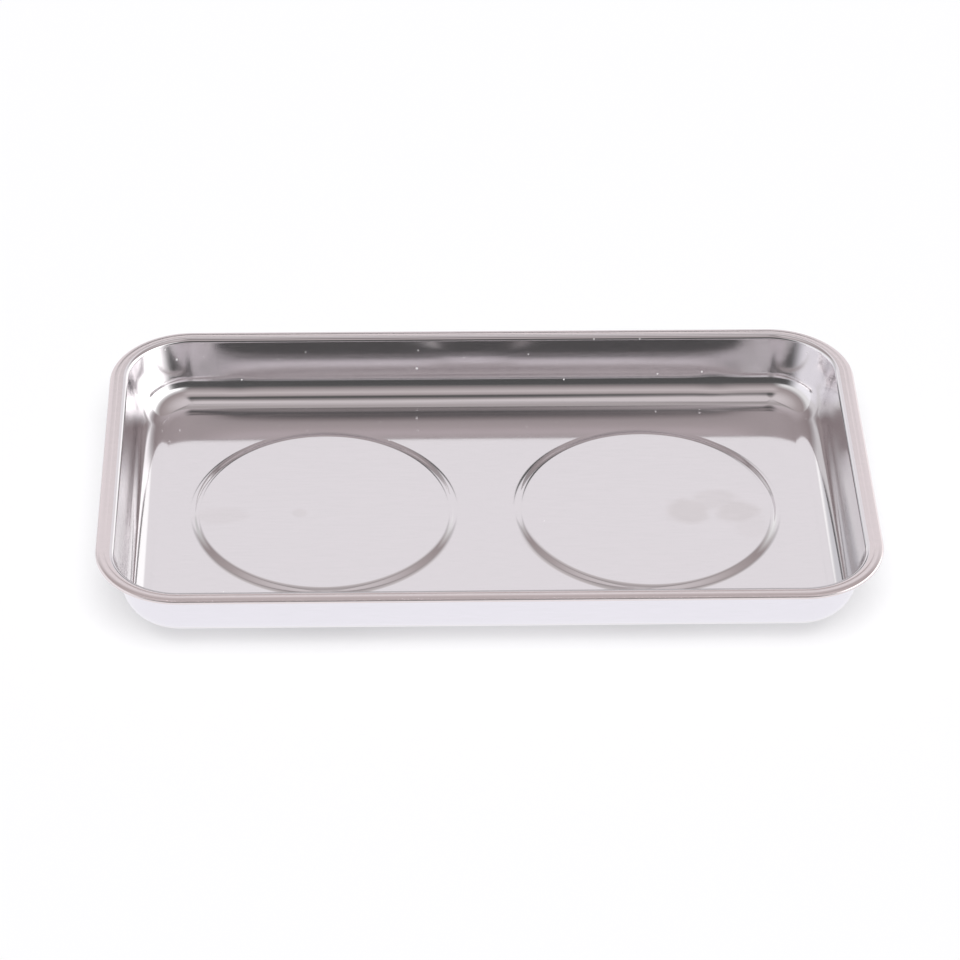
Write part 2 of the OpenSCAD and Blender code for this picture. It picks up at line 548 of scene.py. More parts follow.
@dataclass(frozen=True)
class SheetSection:
    """Upper skin of a bent sheet, as points from its start to its edge. Metres and degrees."""

    bends: tuple[Bend, ...]
    sheet_t: float
    facet: float = 6.0
    hold: float = 0.2 * MM
    longest: float = 1.2 * MM

    SHORT_RUN_HOLDS = 3
    LEAST_FACETS = 2
    SAME_PLACE = 1e-6

    def straight(self, start: Vector, end: Vector) -> list[Vector]:
        """Divide a straight run, with one point held close to each end.

        Args:
            start: Where the run starts.
            end: Where it ends.

        Returns:
            The points between, none where the run is short.
        """
        length = (end - start).length
        if length < self.SHORT_RUN_HOLDS * self.hold:
            return []
        spans = max(1, math.ceil((length - 2 * self.hold) / self.longest))
        steps = [self.hold + (length - 2 * self.hold) * i / spans for i in range(spans + 1)]
        return [start.lerp(end, step / length) for step in steps]

    def points(self) -> list[Vector]:
        """Walk the path.

        Returns:
            The skin's points.
        """
        at, angle = Vector((0.0, 0.0)), 0.0
        found = [at.copy()]
        for bend in self.bends:
            ahead = Vector((math.cos(angle), math.sin(angle)))
            end = at + ahead * bend.run
            found += self.straight(at, end)
            found.append(end)
            at = end
            if not bend.turn:
                continue
            side = math.copysign(1.0, bend.turn)
            radius = bend.inside_r + (self.sheet_t if side < 0 else 0.0)
            middle = at + Vector((-math.sin(angle), math.cos(angle))) * radius * side
            turn = math.radians(bend.turn)
            spans = max(self.LEAST_FACETS, math.ceil(abs(bend.turn) / self.facet))
            first = angle - side * math.pi / 2
            for i in range(1, spans + 1):
                bearing = first + turn * i / spans
                found.append(middle + Vector((math.cos(bearing), math.sin(bearing))) * radius)
            at, angle = found[-1].copy(), angle + turn
        return [p for i, p in enumerate(found)
                if i == 0 or (p - found[i - 1]).length > self.SAME_PLACE]


class PathTree:
    """Geometry Nodes that sweep sheet sections along a round-cornered path and round seats."""

    SIZES = ("Corner X", "Corner Y", "Wall Corner Y", "Floor Reach", "Strip Start", "Strip End",
             "Side Step", "Floor Z", "Depth", "Seat Pitch", "Seat Foot", "Seat Top", "Seat Rise")
    SECTIONS = ("Edge Section", "Seat Section")
    CORNER_POINTS = 36
    SEAT_POINTS = 180
    MERGE_WITHIN = 0.004 * MM

    def __init__(self) -> None:
        """Build the tree."""
        self.tree = bpy.data.node_groups.new("pressed_pan", "GeometryNodeTree")
        face = self.tree.interface
        kinds = {"Geometry": "Geometry", **dict.fromkeys(self.SECTIONS, "Object"),
                 **dict.fromkeys(self.SIZES, "Float"), "Finish": "Material"}
        for name, kind in kinds.items():
            face.new_socket(name, in_out="INPUT", socket_type=f"NodeSocket{kind}")
        face.new_socket("Geometry", in_out="OUTPUT", socket_type="NodeSocketGeometry")
        self.graph = Graph(self.tree)
        self.given = {s.name: s for s in self.graph.add("NodeGroupInput").outputs if s.name}
        self._wire()

    def identifier(self, name: str) -> str:
        """Identifier of a named input."""
        return next(s.identifier for s in self.tree.interface.items_tree
                    if s.name == name and s.in_out == "INPUT")

    def _here(self) -> Socket:
        """Place of each point."""
        return self.graph.add("GeometryNodeInputPosition").outputs[0]

    def _axes(self, vector: Socket) -> bpy.types.NodeOutputs:
        """Parts of a vector by axis."""
        return self.graph.add("ShaderNodeSeparateXYZ", Vector=vector).outputs

    def _joined(self, *parts: Socket) -> Socket:
        """Several geometries as one."""
        node = self.graph.add("GeometryNodeJoinGeometry")
        for part in parts:
            self.tree.links.new(part, node.inputs[0])
        return node.outputs[0]

    def _moved(self, geometry: Socket, **by: object) -> Socket:
        """Geometry moved along the axes that are named."""
        step = self.graph.add("ShaderNodeCombineXYZ", **by).outputs[0]
        return self.graph.add("GeometryNodeTransform", Geometry=geometry,
                              Translation=step).outputs[0]

    def _rounded_path(self, corner_y: str, reach: str) -> Socket:
        """Draw a closed path round the pan: fine round its corners, stepped along its sides.

        Args:
            corner_y: Name of the input that places the corners' axes along Y.
            reach: Name of the input that gives the path's distance from those axes.

        Returns:
            The path's curve.
        """
        graph, given = self.graph, self.given
        twice = [graph.math("MULTIPLY", graph.math("ADD", given[name], given[reach]), 2.0)
                 for name in ("Corner X", corner_y)]
        quad = graph.add("GeometryNodeCurvePrimitiveQuadrilateral", Width=twice[0], Height=twice[1])
        fillet = graph.add("GeometryNodeFilletCurve", {"mode": "POLY"}, Curve=quad.outputs[0],
                           Count=self.CORNER_POINTS, Radius=given[reach])
        here = self._here()
        after = graph.add("GeometryNodeOffsetPointInCurve", Offset=1).outputs["Point Index"]
        there = graph.add("GeometryNodeFieldAtIndex",
                          {"data_type": "FLOAT_VECTOR", "domain": "POINT"}, Index=after, Value=here)
        length = graph.vector("DISTANCE", here, there.outputs[0])
        cuts = graph.math("FLOOR", graph.math("DIVIDE", length, given["Side Step"]))
        return graph.add("GeometryNodeSubdivideCurve", Curve=fillet.outputs[0],
                         Cuts=cuts).outputs[0]

    def _circles(self, radius: Socket) -> Socket:
        """Draw a circle about each seat's middle.

        Args:
            radius: Radius of the circles.

        Returns:
            Both circles' curves.
        """
        graph, pitch = self.graph, self.given["Seat Pitch"]
        circle = graph.add("GeometryNodeCurvePrimitiveCircle", Resolution=self.SEAT_POINTS,
                           Radius=radius).outputs[0]
        return self._joined(*(self._moved(circle, X=graph.math("MULTIPLY", pitch, side.value / 2))
                              for side in Side))

    def _level(self, x: Socket, y: Socket) -> Socket:
        """Level direction of a step along X and Y."""
        step = self.graph.add("ShaderNodeCombineXYZ", X=x, Y=y).outputs[0]
        return self.graph.vector("NORMALIZE", step)

    def _outward(self, reach_x: Socket, reach_y: Socket) -> Socket:
        """Find the level direction away from a rectangle about the middle.

        Args:
            reach_x: Half the rectangle's length.
            reach_y: Half its width.

        Returns:
            The direction from its nearest point.
        """
        graph = self.graph
        axes = self._axes(self._here())
        parts = []
        for axis, reach in ((axes["X"], reach_x), (axes["Y"], reach_y)):
            low = graph.math("MULTIPLY", reach, -1.0)
            nearest = graph.math("MINIMUM", graph.math("MAXIMUM", axis, low), reach)
            parts.append(graph.math("SUBTRACT", axis, nearest))
        return self._level(*parts)

    def _from_seat(self) -> Socket:
        """Find the level direction away from the middle of the nearer seat.

        Returns:
            The direction.
        """
        graph = self.graph
        axes = self._axes(self._here())
        half_pitch = graph.math("MULTIPLY", self.given["Seat Pitch"], 0.5)
        middle = graph.math("MULTIPLY", graph.math("SIGN", axes["X"]), half_pitch)
        return self._level(graph.math("SUBTRACT", axes["X"], middle), axes["Y"])

    def _capture(self, geometry: Socket, value: Socket) -> tuple[Socket, Socket]:
        """Keep a vector on each point of a curve.

        Args:
            geometry: The curve.
            value: The vector.

        Returns:
            The curve, and the vector as it was kept.
        """
        node = self.graph.add("GeometryNodeCaptureAttribute", {"domain": "POINT"},
                              Geometry=geometry)
        node.capture_items.new("VECTOR", "Kept")
        self.graph.feed(node.inputs["Kept"], value)
        return node.outputs["Geometry"], node.outputs["Kept"]

    def _swept(self, path: Socket, outward: Socket, section: Socket) -> Socket:
        """Carry a section along a path.

        Args:
            path: The path's curve.
            outward: Level direction that the section's X takes; its Y goes upward.
            section: The section's chain of edges.

        Returns:
            The sheet.
        """
        graph, here = self.graph, self._here()
        path, route = self._capture(path, here)
        path, facing = self._capture(path, outward)
        profile = graph.add("GeometryNodeMeshToCurve", Mesh=section).outputs[0]
        profile, shape = self._capture(profile, here)
        sheet = graph.add("GeometryNodeCurveToMesh", Curve=path, Profile_Curve=profile).outputs[0]
        offset = self._axes(shape)
        level = graph.scaled(facing, offset["X"])
        upright = graph.add("ShaderNodeCombineXYZ", Z=offset["Y"]).outputs[0]
        at = graph.vector("ADD", graph.vector("ADD", route, level), upright)
        return graph.add("GeometryNodeSetPosition", Geometry=sheet, Position=at).outputs[0]

    def _filled(self, *curves: Socket) -> Socket:
        """Flat sheet inside the first curve, with the others as holes."""
        return self.graph.add("GeometryNodeFillCurve", {"mode": "TRIANGLES"},
                              Curve=self._joined(*curves)).outputs[0]

    def _wire(self) -> None:
        """Join the swept wall and edge, the strip between them, the floor and the seats."""
        graph, given = self.graph, self.given
        path = self._rounded_path("Wall Corner Y", "Floor Reach")
        inner = self._rounded_path("Wall Corner Y", "Strip Start")
        outer = self._rounded_path("Corner Y", "Strip End")
        foot, top = self._circles(given["Seat Foot"]), self._circles(given["Seat Top"])
        edge, step = (graph.add("GeometryNodeObjectInfo", {"transform_space": "ORIGINAL"},
                                Object=given[name]).outputs["Geometry"] for name in self.SECTIONS)
        beside_wall = self._outward(given["Corner X"], given["Wall Corner Y"])
        beside_edge = self._outward(given["Corner X"], given["Corner Y"])
        sheets = self._joined(
            self._swept(path, beside_wall, given["Geometry"]),
            self._moved(self._filled(outer, inner), Z=given["Depth"]),
            self._moved(self._swept(outer, beside_edge, edge), Z=given["Depth"]),
            self._filled(path, foot),
            self._moved(self._swept(top, self._from_seat(), step), Z=given["Seat Rise"]),
            self._moved(self._filled(top), Z=given["Seat Rise"]),
        )
        pan = self._moved(sheets, Z=given["Floor Z"])
        merged = graph.add("GeometryNodeMergeByDistance", Geometry=pan, Distance=self.MERGE_WITHIN)
        real = graph.add("GeometryNodeRealizeInstances", Geometry=merged.outputs[0])
        done = graph.add("GeometryNodeSetMaterial", Geometry=real.outputs[0],
                         Material=given["Finish"])
        graph.add("NodeGroupOutput", Geometry=done.outputs[0])


def new_piece(name: str, mesh: Mesh) -> Piece:
    """Object at the origin that holds a mesh."""
    piece = bpy.data.objects.new(name, mesh)
    bpy.context.scene.collection.objects.link(piece)
    return piece


def drop(piece: Piece) -> None:
    """Delete an object and the mesh that only it used."""
    mesh = piece.data
    bpy.data.objects.remove(piece)
    if not mesh.users:
        bpy.data.meshes.remove(mesh)


def polyline(name: str, points: list[Vector]) -> Piece:
    """Make a chain of edges in the XY plane.

    Args:
        name: Name of the object and its mesh.
        points: Places along the chain.

    Returns:
        The new object.
    """
    mesh = bpy.data.meshes.new(name)
    edges = [(i, i + 1) for i in range(len(points) - 1)]
    mesh.from_pydata([(p.x, p.y, 0.0) for p in points], edges, [])
    return new_piece(name, mesh)


def evaluated_mesh(piece: Piece, name: str) -> Mesh:
    """Apply a piece's modifiers.

    Args:
        piece: The piece, which stays as it is.
        name: Name of the new mesh.

    Returns:
        A plain mesh of the result.
    """
    graph = bpy.context.evaluated_depsgraph_get()
    mesh = bpy.data.meshes.new_from_object(piece.evaluated_get(graph))
    mesh.name = name
    return mesh


def ride_and_report(piece: Piece, node: str) -> None:
    """Put a finished piece in place of its node and report it.

    Args:
        piece: The piece.
        node: The CAD node that it stands for.
    """
    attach(piece, BODY)
    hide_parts(node)
    log.info("%s: %d faces, in place of %s", piece.name, len(piece.data.polygons), node)


@dataclass(frozen=True)
class Pucker:
    """A small dent pressed inward in the back wall. Metres, its height above the table."""

    x: float
    height: float
    reach_x: float
    reach_z: float
    depth: float


class PanZone(Enum):
    """Parts of the pan that take different materials, numbered like its materials; the rim and the
    outer faces carry painted reflection tints of the same steel.
    """

    FLOOR = 0
    WALL = 1
    EDGE = 2
    OUTSIDE = 3


@dataclass
class TrayPan:
    """The drawn pan: floor, leaning walls, hemmed rim and pressed seats. Metres and degrees."""

    length: float = 240 * MM
    width: float = 140 * MM
    depth: float = 20.9 * MM
    corner_r: float = 26 * MM
    sheet_t: float = 0.5 * MM
    wall_lean: float = 11.5
    long_bow: float = 0.3 * MM
    short_bow: float = 0.1 * MM
    bow_power: int = 8
    floor_bend_r: float = 10 * MM
    shoulder_r: float = 1.0 * MM
    flat_w: float = 1.4 * MM
    side_flat_w: float = 0.2 * MM
    crease_r: float = 0.4 * MM
    crease_w: float = 0.25 * MM
    crease_dip: float = 12.0
    crown_r: float = 4.5 * MM
    crown_rise: float = 3.0
    crown_fall: float = 12.0
    lip_w: float = 0.3 * MM
    hem_r: float = 0.3 * MM
    floor_z: float = 8.5 * MM
    seat_pitch: float = 102 * MM
    seat_r: float = 38.8 * MM
    seat_rise: float = 0.9 * MM
    step_top_r: float = 4.0 * MM
    step_foot_r: float = 6.0 * MM
    step_run: float = 0.3 * MM
    step_facet: float = 3.0
    step_hold: float = 0.05 * MM
    flat_hold: float = 1.5 * MM
    strip_hold: float = 0.05 * MM
    seat_hold: float = 0.6 * MM
    side_step: float = 3 * MM
    wall_tilt: float = 55.0
    sharp_angle: float = 50.0
    puckers: tuple[Pucker, ...] = (
        Pucker(77.6 * MM, 13.2 * MM, 4.2 * MM, 2.2 * MM, 0.2 * MM),
        Pucker(-80.0 * MM, 13.8 * MM, 3.0 * MM, 2.0 * MM, 0.12 * MM),
    )
    floor_finish: BrightSteel = BrightSteel("bright_steel", marks=FINGER_MARKS)
    wall_finish: BrightSteel = BrightSteel("drawn_steel", roughness=0.1, drawn=0.8, dusty=0.25)
    # The rim gets a pinker, slightly less metallic copy of the steel: its tint is a painted
    # reflection tone, not a colour of the steel itself.
    edge_finish: BrightSteel = BrightSteel("edge_steel_painted_reflection", colour=(0.8, 0.725, 0.73, 1.0),
                                           roughness=0.13, metal=0.88)
    # The outer faces get a brighter, bluer copy of the steel: a painted reflection of the pale
    # table in front, not a colour of the steel itself.
    outer_finish: BrightSteel = BrightSteel("outer_steel_painted_reflection", colour=(0.855, 0.835, 0.88, 1.0),
                                            roughness=0.1, drawn=0.8)

    LEVEL_NORMAL = 0.999
    MIDDLE_HALF = 4 * MM

    @property
    def corner(self) -> Range:
        """Place of a corner's axis along X and Y."""
        return self.length / 2 - self.corner_r, self.width / 2 - self.corner_r

    @property
    def wall_corner(self) -> Range:
        """Place of a corner's axis for the walls, which stand further out on the long sides."""
        return self.corner[0], self.corner[1] + self.flat_w - self.side_flat_w

    def wall_bends(self, wall_run: float) -> tuple[Bend, ...]:
        """List the bends from the floor to the rim's flat strip.

        Args:
            wall_run: Length of the straight middle of the wall.

        Returns:
            The bends in order.
        """
        return (
            Bend(self.flat_hold, 90 - self.wall_lean, self.floor_bend_r),
            Bend(wall_run, self.wall_lean - 90, self.shoulder_r),
            Bend(self.strip_hold),
        )

    def wall_section(self) -> SheetSection:
        """Draw the wall as long as the tray's depth needs.

        Returns:
            The section from the floor to the rim's flat strip.
        """
        short = SheetSection(self.wall_bends(0.0), self.sheet_t).points()
        climb = math.cos(math.radians(self.wall_lean))
        return SheetSection(self.wall_bends((self.depth - short[-1].y) / climb), self.sheet_t)

    def edge_section(self) -> SheetSection:
        """Draw the rim's crease, its crown and the edge folded under them.

        Returns:
            The section from the rim's flat strip to the end of the fold.
        """
        crown = self.crown_rise + self.crown_fall
        inner_r = self.crown_r - 2 * self.hem_r - self.sheet_t
        return SheetSection((
            Bend(self.strip_hold, -self.crease_dip, self.crease_r),
            Bend(self.crease_w, self.crease_dip + self.crown_rise, self.crease_r),
            Bend(self.lip_w, -crown, self.crown_r),
            Bend(self.lip_w, -180.0, self.hem_r),
            Bend(self.lip_w, crown, inner_r),
            Bend(self.lip_w),
        ), self.sheet_t)

    def seat_section(self) -> tuple[SheetSection, float]:
        """Draw the step round a seat.

        Returns:
            The section from the seat's top to the floor, and how far it reaches.
        """
        radii = self.step_top_r + self.sheet_t + self.step_foot_r
        turn = math.acos((radii - self.seat_rise) / math.hypot(radii, self.step_run))
        turn -= math.atan(self.step_run / radii)
        bends = (
            Bend(self.seat_hold, -math.degrees(turn), self.step_top_r),
            Bend(self.step_run, math.degrees(turn), self.step_foot_r),
            Bend(self.seat_hold),
        )
        reach = 2 * self.seat_hold + radii * math.sin(turn) + self.step_run * math.cos(turn)
        return SheetSection(bends, self.sheet_t, facet=self.step_facet, hold=self.step_hold), reach

    @cached_property
    def strip_end(self) -> float:
        """Distance from a corner's axis to the outer side of the rim's flat strip."""
        return self.corner_r - max(p.x for p in self.edge_section().points())

    @property
    def strip_start(self) -> float:
        """Distance from a corner's axis to the inner side of the rim's flat strip."""
        return self.strip_end + 2 * self.strip_hold - self.flat_w

    def out_from_axes(self, at: Vector) -> float:
        """Level distance of a place from the walls' corner axes and the lines between them."""
        x, y = self.wall_corner
        return math.hypot(max(abs(at.x) - x, 0.0), max(abs(at.y) - y, 0.0))

    def zone(self, at: Vector, normal: Vector) -> PanZone:
        """Tell which part of the pan a face belongs to.

        Args:
            at: The face's middle.
            normal: The way it faces.

        Returns:
            The part.
        """
        if self.out_from_axes(at) > self.strip_start:
            return PanZone.EDGE
        if abs(normal.z) >= math.cos(math.radians(self.wall_tilt)):
            return PanZone.FLOOR
        return PanZone.OUTSIDE if normal.xy.dot(at.xy) > 0 else PanZone.WALL

    def upper_skin(self, steel: Material) -> Mesh:
        """Sweep the pan's upper skin by Geometry Nodes.

        Args:
            steel: Material that the sheet carries.

        Returns:
            A plain open mesh.
        """
        wall, edge = self.wall_section().points(), self.edge_section().points()
        step, step_reach = self.seat_section()
        carrier = polyline("wall_section", wall)
        helpers = (polyline("edge_section", edge), polyline("seat_section", step.points()))
        paths = PathTree()
        sweep = carrier.modifiers.new("sweep", "NODES")
        sweep.node_group = paths.tree
        seat_top = self.seat_r - self.seat_hold
        sizes = (*self.corner, self.wall_corner[1], self.strip_start - wall[-1].x,
                 self.strip_start, self.strip_end, self.side_step, self.floor_z, self.depth,
                 self.seat_pitch, seat_top + step_reach, seat_top, self.seat_rise)
        inputs = {**dict(zip(PathTree.SIZES, sizes)), **dict(zip(PathTree.SECTIONS, helpers)),
                  "Finish": steel}
        for name, value in inputs.items():
            sweep[paths.identifier(name)] = value
        mesh = evaluated_mesh(carrier, "pan_skin")
        for helper in (carrier, *helpers):
            drop(helper)
        return mesh

    def settle(self, mesh: Mesh) -> None:
        """Turn every face of the skin to the side that the tray is filled from.

        Args:
            mesh: The upper skin, changed here.
        """
        shell = bmesh.new()
        shell.from_mesh(mesh)
        bmesh.ops.recalc_face_normals(shell, faces=shell.faces)
        flat = [f for f in shell.faces if abs(f.normal.z) > self.LEVEL_NORMAL
                and abs(f.calc_center_median().x) < self.MIDDLE_HALF]
        if sum(f.normal.z * f.calc_area() for f in flat) < 0:
            bmesh.ops.reverse_faces(shell, faces=shell.faces)
        shell.to_mesh(mesh)
        shell.free()

    def bow(self, points: np.ndarray) -> None:
        """Bow the walls outward a little between the corners.

        Args:
            points: Places of the skin's points, moved here.
        """
        curl = 1 - math.sin(math.radians(self.wall_lean))
        low = self.floor_bend_r * curl
        high = self.depth - (self.shoulder_r + self.sheet_t) * curl
        height = np.clip((points[:, 2] - self.floor_z - low) / (high - low), 0.0, 1.0)
        belly = 4 * height * (1 - height)
        corner = self.wall_corner
        for along, across, bow in ((0, 1, self.long_bow), (1, 0, self.short_bow)):
            place = np.clip(points[:, along] / corner[along], -1.0, 1.0)
            share = 1 - np.abs(place) ** self.bow_power
            out = np.abs(points[:, across]) - corner[across]
            on_wall = (out > 0) & (out < self.strip_start)
            move = np.sign(points[:, across]) * bow * share * belly
            points[:, across] += np.where(on_wall, move, 0.0)

    def pucker(self, points: np.ndarray) -> None:
        """Dent the back wall near its ends.

        Args:
            points: Places of the skin's points, moved here.
        """
        start = self.wall_corner[1]
        on_back = (points[:, 1] > start) & (points[:, 1] < start + self.strip_start)
        for dent in self.puckers:
            away = (((points[:, 0] - dent.x) / dent.reach_x) ** 2
                    + ((points[:, 2] - dent.height) / dent.reach_z) ** 2)
            points[:, 1] -= np.where(on_back, dent.depth * np.exp(-away), 0.0)

    def spring(self, mesh: Mesh) -> None:
        """Give the walls the shape that pressing and handling left.

        Args:
            mesh: The upper skin, changed here.
        """
        points = np.empty(len(mesh.vertices) * 3)
        mesh.vertices.foreach_get("co", points)
        points = points.reshape(-1, 3)
        self.bow(points)
        self.pucker(points)
        mesh.vertices.foreach_set("co", points.ravel())

    def thickened(self, skin: Mesh) -> Mesh:
        """Give the sheet its thickness.

        Args:
            skin: The upper skin, used up here.

        Returns:
            The closed pan, shaded smooth between its sharp edges.
        """
        raw = new_piece("pan_skin", skin)
        sheet = raw.modifiers.new("sheet", "SOLIDIFY")
        sheet.thickness, sheet.offset = self.sheet_t, -1.0
        sheet.use_even_offset = True
        mesh = evaluated_mesh(raw, "pressed_pan")
        drop(raw)
        mesh.shade_smooth()
        mesh.set_sharp_from_angle(angle=math.radians(self.sharp_angle))
        return mesh

    def build(self, shared: SharedEffects) -> None:
        """Make the pan, dress each part of it and put it in the node's place.

        Args:
            shared: The shader groups that finishes share.
        """
        finishes = {PanZone.FLOOR: self.floor_finish, PanZone.WALL: self.wall_finish,
                    PanZone.EDGE: self.edge_finish, PanZone.OUTSIDE: self.outer_finish}
        steels = [finishes[zone].material(shared) for zone in PanZone]
        skin = self.upper_skin(steels[PanZone.FLOOR.value])
        self.settle(skin)
        self.spring(skin)
        mesh = self.thickened(skin)
        mesh.materials.clear()
        for steel in steels:
            mesh.materials.append(steel)
        for face in mesh.polygons:
            face.material_index = self.zone(face.center, face.normal).value
        ride_and_report(new_piece("pressed_pan", mesh), "tray_pan")


@dataclass
class MagnetPack:
    """A ring magnet on its pole plate in a rubber boot, bonded under one seat."""

    side: Side

    def dress(self, finishes: dict[str, Material]) -> None:
        """Give each node of the pack its finish.

        Args:
            finishes: Material for each node, by the node's name without its side.
        """
        for part, material in finishes.items():
            node = f"{self.side.label}_{part}"
            piece = next(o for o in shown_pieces() if o.name == node)
            piece.data.materials.clear()
            piece.data.materials.append(material)
            log.info("%s: %s", node, material.name)


def ray_kinds(graph: Graph) -> tuple[Socket, Socket]:
    """Masks of the camera's own rays, and of the rays that metal or glass sends on."""
    ray = graph.add("ShaderNodeLightPath").outputs
    return ray["Is Camera Ray"], graph.math("MAXIMUM", ray["Is Glossy Ray"],
                                            ray["Is Transmission Ray"])


ROOF: Colour = (0.72, 0.67, 0.68, 1.0)
PALE: Colour = (0.9, 0.875, 0.9, 1.0)
SIDE_TOP: tuple[Colour, Colour] = ((0.38, 0.33, 0.33, 1.0), (0.46, 0.41, 0.41, 1.0))


@dataclass(frozen=True)
class RoomSide:
    """One side of the mirrored room: its colours, its gain towards the front and its window."""

    side: Side
    stops: tuple[Stop, ...]
    gain: Range
    window_end: float


@dataclass(frozen=True)
class MirroredRoom:
    """Colours of the room that the steel mirrors.

    Stops give degrees above the table; other heights are sines. Bearings are in radians from
    straight behind the tray. A range whose second number is the smaller makes a mask that falls.
    """

    back: tuple[Stop, ...] = (
        (0, (0.8, 0.78, 0.8, 1.0)), (24, (0.72, 0.7, 0.72, 1.0)), (34, PALE),
        (41, (0.91, 0.885, 0.91, 1.0)), (49, (0.62, 0.58, 0.58, 1.0)), (58, (0.54, 0.5, 0.5, 1.0)),
        (66, (0.45, 0.42, 0.42, 1.0)), (74, (0.48, 0.44, 0.44, 1.0)), (82, (0.63, 0.59, 0.6, 1.0)),
        (88, ROOF))
    front: tuple[Stop, ...] = (
        (0, grey(0.09)), (27, grey(0.1)), (35, (0.29, 0.26, 0.26, 1.0)),
        (42, (0.44, 0.4, 0.4, 1.0)), (50, (0.58, 0.53, 0.53, 1.0)), (53, (0.64, 0.58, 0.59, 1.0)),
        (58, (0.53, 0.48, 0.48, 1.0)), (63, (0.46, 0.42, 0.42, 1.0)), (66, (0.27, 0.24, 0.24, 1.0)),
        (69, grey(0.1)), (73, grey(0.12)), (80, (0.32, 0.29, 0.29, 1.0)),
        (84, (0.52, 0.48, 0.48, 1.0)), (88, ROOF))
    sides: tuple[RoomSide, ...] = (
        RoomSide(Side.LEFT, (
            (0, (0.74, 0.74, 0.77, 1.0)), (18, (0.7, 0.7, 0.73, 1.0)), (26, grey(0.6)),
            (34, grey(0.7)), (44, SIDE_TOP[0]), (55, SIDE_TOP[1]), (80, ROOF)), (1.0, 1.5), 0.62),
        RoomSide(Side.RIGHT, (
            (0, grey(1.0)), (18, grey(1.0)), (27, grey(0.9)),
            (35, grey(0.8)), (45, SIDE_TOP[0]), (55, SIDE_TOP[1]), (80, ROOF)), (1.15, 2.2), 0.9),
    )
    back_from_front: Range = (-0.3, 0.3)
    back_wings: Range = (0.22, 0.42)
    back_wing_levels: Range = (1.0, 0.7)
    shade_foot: Range = (0.38, 0.43)
    shade_top: Range = (0.575, 0.53)
    shade_end: Range = (0.3, 0.2)
    shade_level: float = 0.13
    side_start: Range = (0.4, 0.5)
    side_end_heights: Range = (0.38, 0.5)
    side_ends: Range = (2.5, 3.02)
    side_fade: float = 0.5
    gain_top: Range = (0.62, 0.45)
    gain_bearings: Range = (0.7, 1.1)
    panel_start: Range = (0.14, 0.24)
    panel_end: Range = (0.62, 0.5)
    panel_top: Range = (0.62, 0.57)
    window_start: Range = (0.5, 0.56)
    window_fade: float = 0.08
    window_top: Range = (0.45, 0.38)
    window_level: float = 1.25

    @staticmethod
    def ramp(graph: Graph, height: Socket, stops: tuple[Stop, ...]) -> Socket:
        """Make a colour that changes with height.

        Args:
            graph: The world's graph.
            height: Sine of the height above the table.
            stops: Degrees above the table and the colour there, in rising order.

        Returns:
            The colour.
        """
        node = graph.add("ShaderNodeValToRGB", Fac=height)
        marks = node.color_ramp.elements
        while len(marks) < len(stops):
            marks.new(0.5)
        for mark, (degrees, colour) in zip(marks, stops):
            mark.position, mark.color = math.sin(math.radians(degrees)), colour
        return node.outputs["Color"]

    def backdrop(self, graph: Graph, height: Socket, aside: Socket) -> Socket:
        """Make the room behind the tray, dimmer to the sides and with a dark shade across it.

        Args:
            graph: The world's graph.
            height: Sine of the height above the table.
            aside: Bearing to either side.

        Returns:
            The colour.
        """
        colour = self.ramp(graph, height, self.back)
        level = graph.spread(aside, *self.back_wings, *self.back_wing_levels)
        shade = graph.overlap(graph.spread(height, *self.shade_foot),
                              graph.spread(height, *self.shade_top),
                              graph.spread(aside, *self.shade_end))
        return graph.mix(shade, graph.scaled(colour, level), grey(self.shade_level))

    def side_wall(self, graph: Graph, height: Socket, aside: Socket, part: RoomSide) -> Socket:
        """Make one side of the room, brighter low down towards the front.

        Args:
            graph: The world's graph.
            height: Sine of the height above the table.
            aside: Bearing to either side.
            part: The side.

        Returns:
            The colour.
        """
        colour = self.ramp(graph, height, part.stops)
        gain = graph.spread(aside, *self.gain_bearings, *part.gain)
        return graph.mix(graph.spread(height, *self.gain_top), colour, graph.scaled(colour, gain))

    def colour(self, graph: Graph) -> Socket:
        """Make the whole room.

        Args:
            graph: The world's graph.

        Returns:
            The room's colour in the direction of a ray.
        """
        facing = graph.add("ShaderNodeTexCoord").outputs["Generated"]
        axes = graph.add("ShaderNodeSeparateXYZ", Vector=facing).outputs
        height, bearing = axes["Z"], graph.math("ARCTAN2", axes["X"], axes["Y"])
        aside = graph.math("ABSOLUTE", bearing)
        offs = [graph.math("MULTIPLY", bearing, float(part.side.value)) for part in self.sides]
        room = graph.mix(graph.spread(axes["Y"], *self.back_from_front),
                         self.ramp(graph, height, self.front), self.backdrop(graph, height, aside))
        end = graph.spread(height, *self.side_end_heights, *self.side_ends)
        fade = graph.math("SUBTRACT", end, self.side_fade)
        for part, off in zip(self.sides, offs):
            inside = graph.overlap(graph.spread(off, *self.side_start),
                                   graph.spread(off, end, fade))
            room = graph.mix(inside, room, self.side_wall(graph, height, aside, part))
        for part, off in zip(self.sides, offs):
            panel = graph.overlap(graph.spread(off, *self.panel_start),
                                  graph.spread(off, *self.panel_end),
                                  graph.spread(height, *self.panel_top))
            room = graph.mix(panel, room, PALE)
            window_end = (part.window_end, part.window_end - self.window_fade)
            window = graph.overlap(graph.spread(off, *self.window_start),
                                   graph.spread(off, *window_end),
                                   graph.spread(height, *self.window_top))
            room = graph.mix(window, room, grey(self.window_level))
        return room


